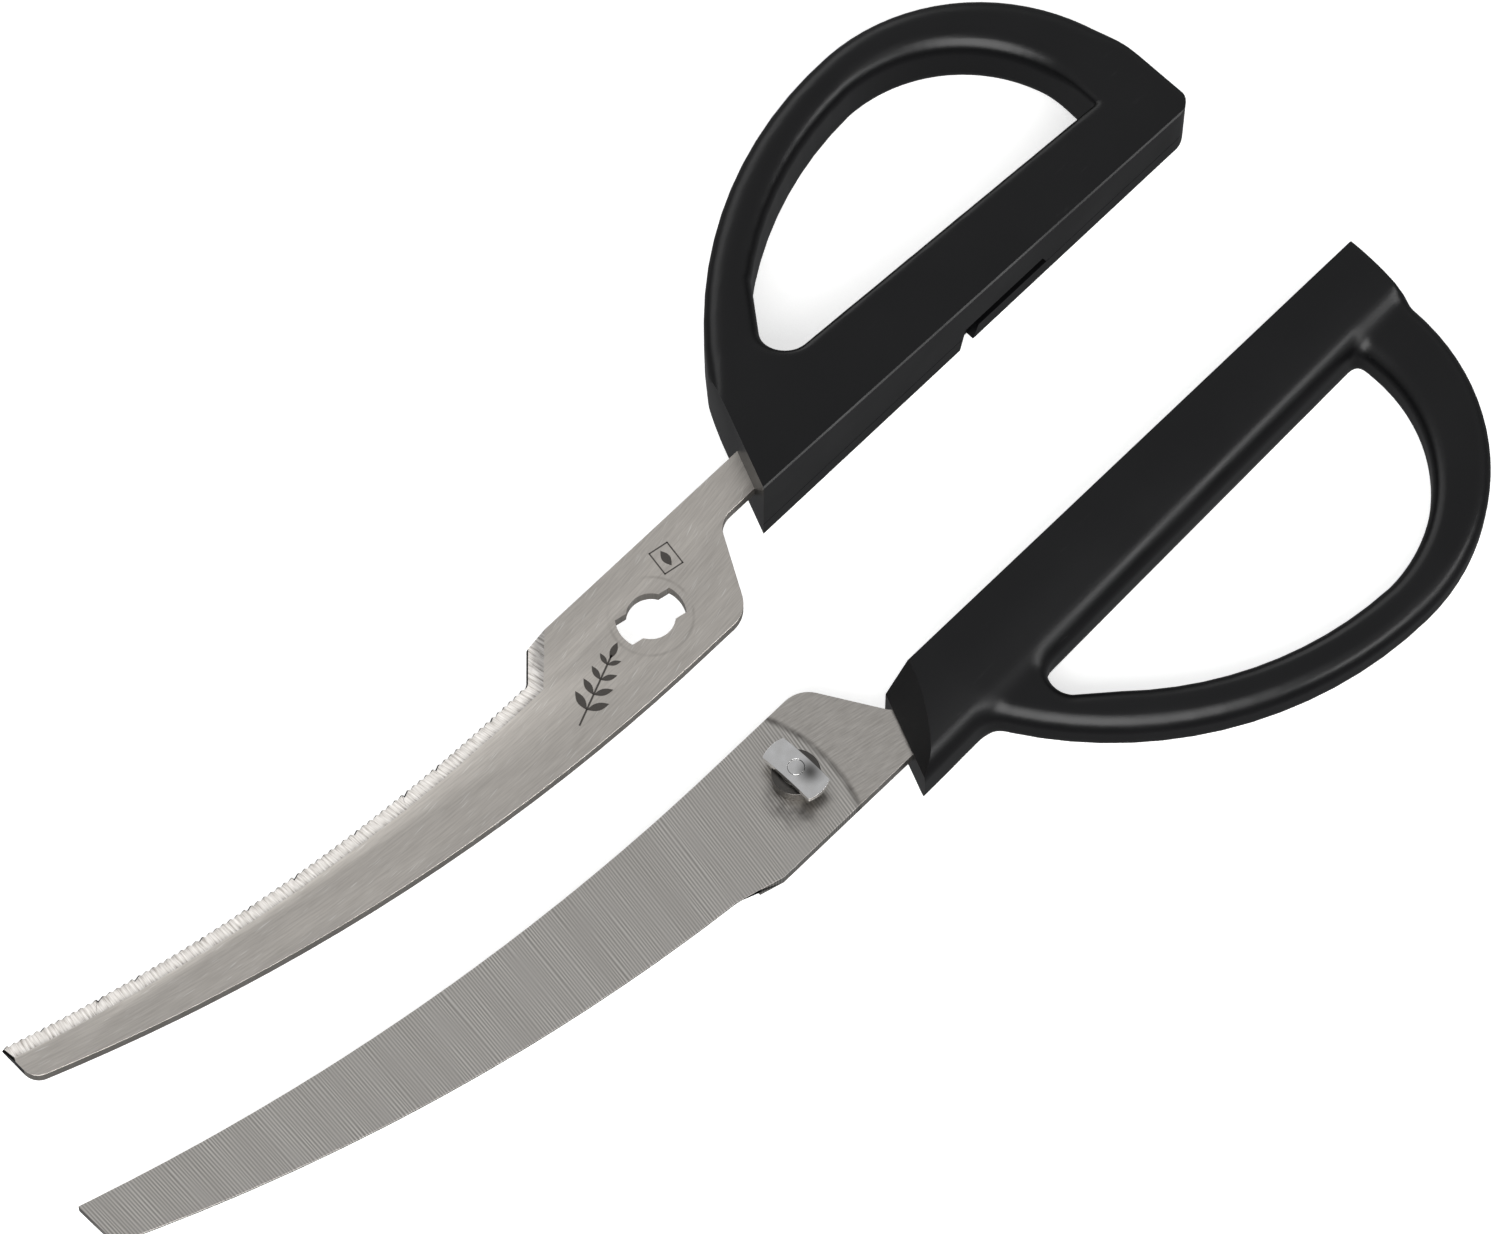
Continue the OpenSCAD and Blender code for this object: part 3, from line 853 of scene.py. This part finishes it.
def slice_off(bm, place, normal):
    """Cuts away what lies beyond a plane, on the side its normal points to, and closes the cut."""
    cut = bmesh.ops.bisect_plane(bm, geom=bm.verts[:] + bm.edges[:] + bm.faces[:], dist=1e-5,
                                 plane_co=place, plane_no=normal, clear_outer=True)["geom_cut"]
    rim = [e for e in cut if isinstance(e, bmesh.types.BMEdge)]
    if rim:
        bmesh.ops.triangle_fill(bm, edges=rim, use_beauty=True, use_dissolve=False)
        bmesh.ops.recalc_face_normals(bm, faces=bm.faces)


print("points on a quarter of a circle:", len(arc((0, 0), 1, 0, 90)))

# %% [markdown]
# ## Plan of a handle
# Both handles share one plan: a straight bar along the mating face, and a loop that leaves
# the bar near the front on a long arc and comes back to its rear end on a tighter one. The
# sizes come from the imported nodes' corners and a few radii.

# %% Plan of a handle
rod_w = 7.0
rod_rear_w = 11.5
bar_w_front = 13.8
bar_w_rear = 11.4
opening_start = 19.0
opening_round = 4.2
opening_round_stop = 140
opening_lead = 1.6 * opening_round
spare = 4.0
cell = 0.45
mating_gap = 0.3
front_turn = math.radians(23)


def plan_rim(front, end, reach, front_r, rear_r):
    """Outer outline, with spare material beyond the mating face and the front."""
    apex = end - rear_r
    root = 180 - math.degrees(math.asin((front_r - reach) / front_r))
    return ([(front - spare, -spare), (end, -spare)]
            + arc((apex, reach - rear_r), rear_r, 0, 90)
            + arc((apex, reach - front_r), front_r, 90, root)[1:]
            + [(front - spare, 0)])


def plan_opening(front, end, reach, front_r, rear_r):
    """Finger opening: straight along the bar, rounded at the front, two arcs outside."""
    apex = end - rear_r
    rear = end - rod_rear_w
    inner_r = rear_r - (rod_w + rod_rear_w) / 2
    inner_centre = (rear - inner_r, reach - rod_w - inner_r)
    start = front + opening_start
    outer_r = front_r - rod_w
    long_start = 180 - math.degrees(math.acos((apex - start - opening_lead) / outer_r))
    long_stop = 180 - math.degrees(math.acos((apex - inner_centre[0]) / outer_r))
    corner = (start + opening_round, bar_w_front + opening_round)
    return (arc(corner, opening_round, 270, opening_round_stop)
            + arc((apex, reach - front_r), outer_r, long_start, long_stop)
            + arc(inner_centre, inner_r, 90, 0)
            + [(rear, bar_w_rear)])


def plan(front, end, reach, front_r, rear_r, x, y):
    """Distance to the handle's outline in plan, with its opening."""
    rim = outline_distance(plan_rim(front, end, reach, front_r, rear_r), x, y)
    opening = outline_distance(plan_opening(front, end, reach, front_r, rear_r), x, y)
    return np.maximum(rim, -opening)


print("handle plan: rod", rod_w, "mm wide, and", rod_rear_w, "mm at its rear end")

# %% [markdown]
# ## Thumb handle
# Its top is one flat plane that falls towards the rear, and it meets the mating face in a
# fine chamfer. Along the bar its other edges are only eased, while the rod of the loop is
# rounded nearly to a full round. The mating face carries the mould's parting line and a long
# recess that bends down at its front end. The rear corner is rounded in plan.

# %% Thumb handle
thumb_low, thumb_high = extent("thumb_handle", "serrated_half")
thumb_front = 25.0
thumb_front_r, thumb_rear_r = 68.0, 35.0
thumb_top_rear = 4.6
thumb_bar_round, thumb_rod_extra = 1.5, 1.8
thumb_corner_r, corner_cuts = 4.0, 8


def thumb_handle():
    end, reach, under, top = thumb_high.x, thumb_high.y, thumb_low.z, thumb_high.z
    low = (thumb_front - spare - 2, -spare - 2, under - 2)
    x, y, z = block_of_points(low, (end + 2, reach + 2, top + 2), cell)
    flat = plan(thumb_front, end, reach, thumb_front_r, thumb_rear_r, x, y)
    fall = math.atan((top - thumb_top_rear) / (end - thumb_front))
    over = (z - top) * math.cos(fall) + (x - thumb_front) * math.sin(fall)
    edge_r = thumb_bar_round + thumb_rod_extra * ease(y, bar_w_front, bar_w_front + 8)
    bm = skin(meet(flat, np.maximum(over, under - z), edge_r), low, cell)
    slice_off(bm, (thumb_front, 0, 0), (-math.cos(front_turn), math.sin(front_turn), 0))
    slice_off(bm, (0, mating_gap, 0), (0, -1, 0))
    slice_off(bm, (thumb_front, mating_gap + 0.25, top), (math.sin(fall), -1, math.cos(fall)))
    corner = Vector((end - thumb_corner_r, mating_gap + thumb_corner_r, 0))
    for step in range(1, corner_cuts):
        turn = math.radians(step * 90 / corner_cuts)
        away = Vector((math.sin(turn), -math.cos(turn), 0))
        slice_off(bm, corner + away * thumb_corner_r, away)
    return bm


def pocket(piece, outline, depth):
    """Cuts a pocket with that outline, in x and z, into a handle's mating face."""
    bm = raised([outline], -mating_gap - depth, 0.5)
    bm.transform(Matrix.Rotation(math.radians(90), 4, "X"))
    mesh = bpy.data.meshes.new("cutter")
    bm.to_mesh(mesh)
    bm.free()
    cutter = bpy.data.objects.new("cutter", mesh)
    bpy.context.collection.objects.link(cutter)
    boolean = piece.modifiers.new("pocket", "BOOLEAN")
    boolean.operation = "DIFFERENCE"
    boolean.solver = "EXACT"
    boolean.object = cutter
    applied(piece)
    bpy.data.objects.remove(cutter)


thumb = bpy.data.objects.new("thumb_handle_moulded", to_mesh(thumb_handle(), "thumb_handle_moulded"))
bpy.context.collection.objects.link(thumb)
parting_z, parting_w, recess_top, recess_foot = -3.6, 0.16, -1.2, -8
recess = [(70.5, recess_top), (88, recess_top), (89, parting_z), (73.5, parting_z),
          (72, recess_foot), (69.2, recess_foot)]
parting_line = [(20, parting_z), (125, parting_z),
                (125, parting_z + parting_w), (20, parting_z + parting_w)]
pocket(thumb, recess, 1.4)
pocket(thumb, parting_line, 0.12)
thumb.data.transform(Matrix.Translation(HALF_ORIGIN["serrated_half"]) @ Matrix.Scale(MM, 4))
thumb.data.materials.clear()
thumb.data.materials.append(ABS)
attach(thumb, "serrated_half")
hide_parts("thumb_handle")
print("thumb handle: faces", len(thumb.data.polygons))

# %% [markdown]
# ## Finger handle
# Its bar stands higher than its loop and is crowned: the top is an arc that falls away
# towards the loop and runs into it through a hollow. The mating edge is straight, with a fine
# chamfer. The front is cut at two angles: upright below, and sloped back above the blade.

# %% Finger handle
finger_low, finger_high = extent("finger_handle", "plain_half")
finger_front = 19.5
finger_front_r, finger_rear_r = 69.0, 36.0
crown_y, crown_r = 2, 22.0
loop_top, loop_lift, loop_round = 2.4, 0.6, 3.0
bar_side_round, bar_end_round, hollow = 2.5, 1.0, 2.6
front_lean = math.radians(50)


def finger_handle():
    end, reach, under, top = finger_high.x, -finger_low.y, finger_low.z, finger_high.z
    low = (finger_front - 6 - spare, -spare - 2, under - 2)
    x, y, z = block_of_points(low, (end + 2, reach + 2, top + 2), cell)
    flat = plan(finger_front, end, reach, finger_front_r, finger_rear_r, x, y)
    loop = meet(flat, np.maximum(z - loop_top, under + loop_lift - z), loop_round)
    crown = np.hypot(y - crown_y, z - top + crown_r) - crown_r
    side = y - bar_w_front - 0.5 + (x - finger_front) * (bar_w_front - bar_w_rear) / (end - finger_front)
    bar = meet(meet(crown, side, bar_side_round), np.maximum(under - z, x - end), bar_end_round)
    bm = skin(run_together(bar, loop, hollow), low, cell)
    outward = Vector((-math.cos(front_turn), -math.sin(front_turn), 0))
    slice_off(bm, (0, 0, under), (0, 0, -1))
    slice_off(bm, (finger_front, 0, 0), outward)
    slice_off(bm, (0, mating_gap, 0), (0, -1, 0))
    sloped = outward * math.sin(front_lean) + Vector((0, 0, math.cos(front_lean)))
    slice_off(bm, (finger_front, 0, 0.6), sloped)
    slice_off(bm, (0, mating_gap + 0.2, top), (0, -1, 1))
    return bm


bm = finger_handle()
bm.transform(Matrix.Scale(-1, 4, (0, 1, 0)))
bmesh.ops.reverse_faces(bm, faces=bm.faces)
finger = put(to_mesh(bm, "finger_handle_moulded"), "finger_handle_moulded", "plain_half")
finger.data.materials.append(ABS)
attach(finger, "plain_half")
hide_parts("finger_handle")
print("finger handle: faces", len(finger.data.polygons))
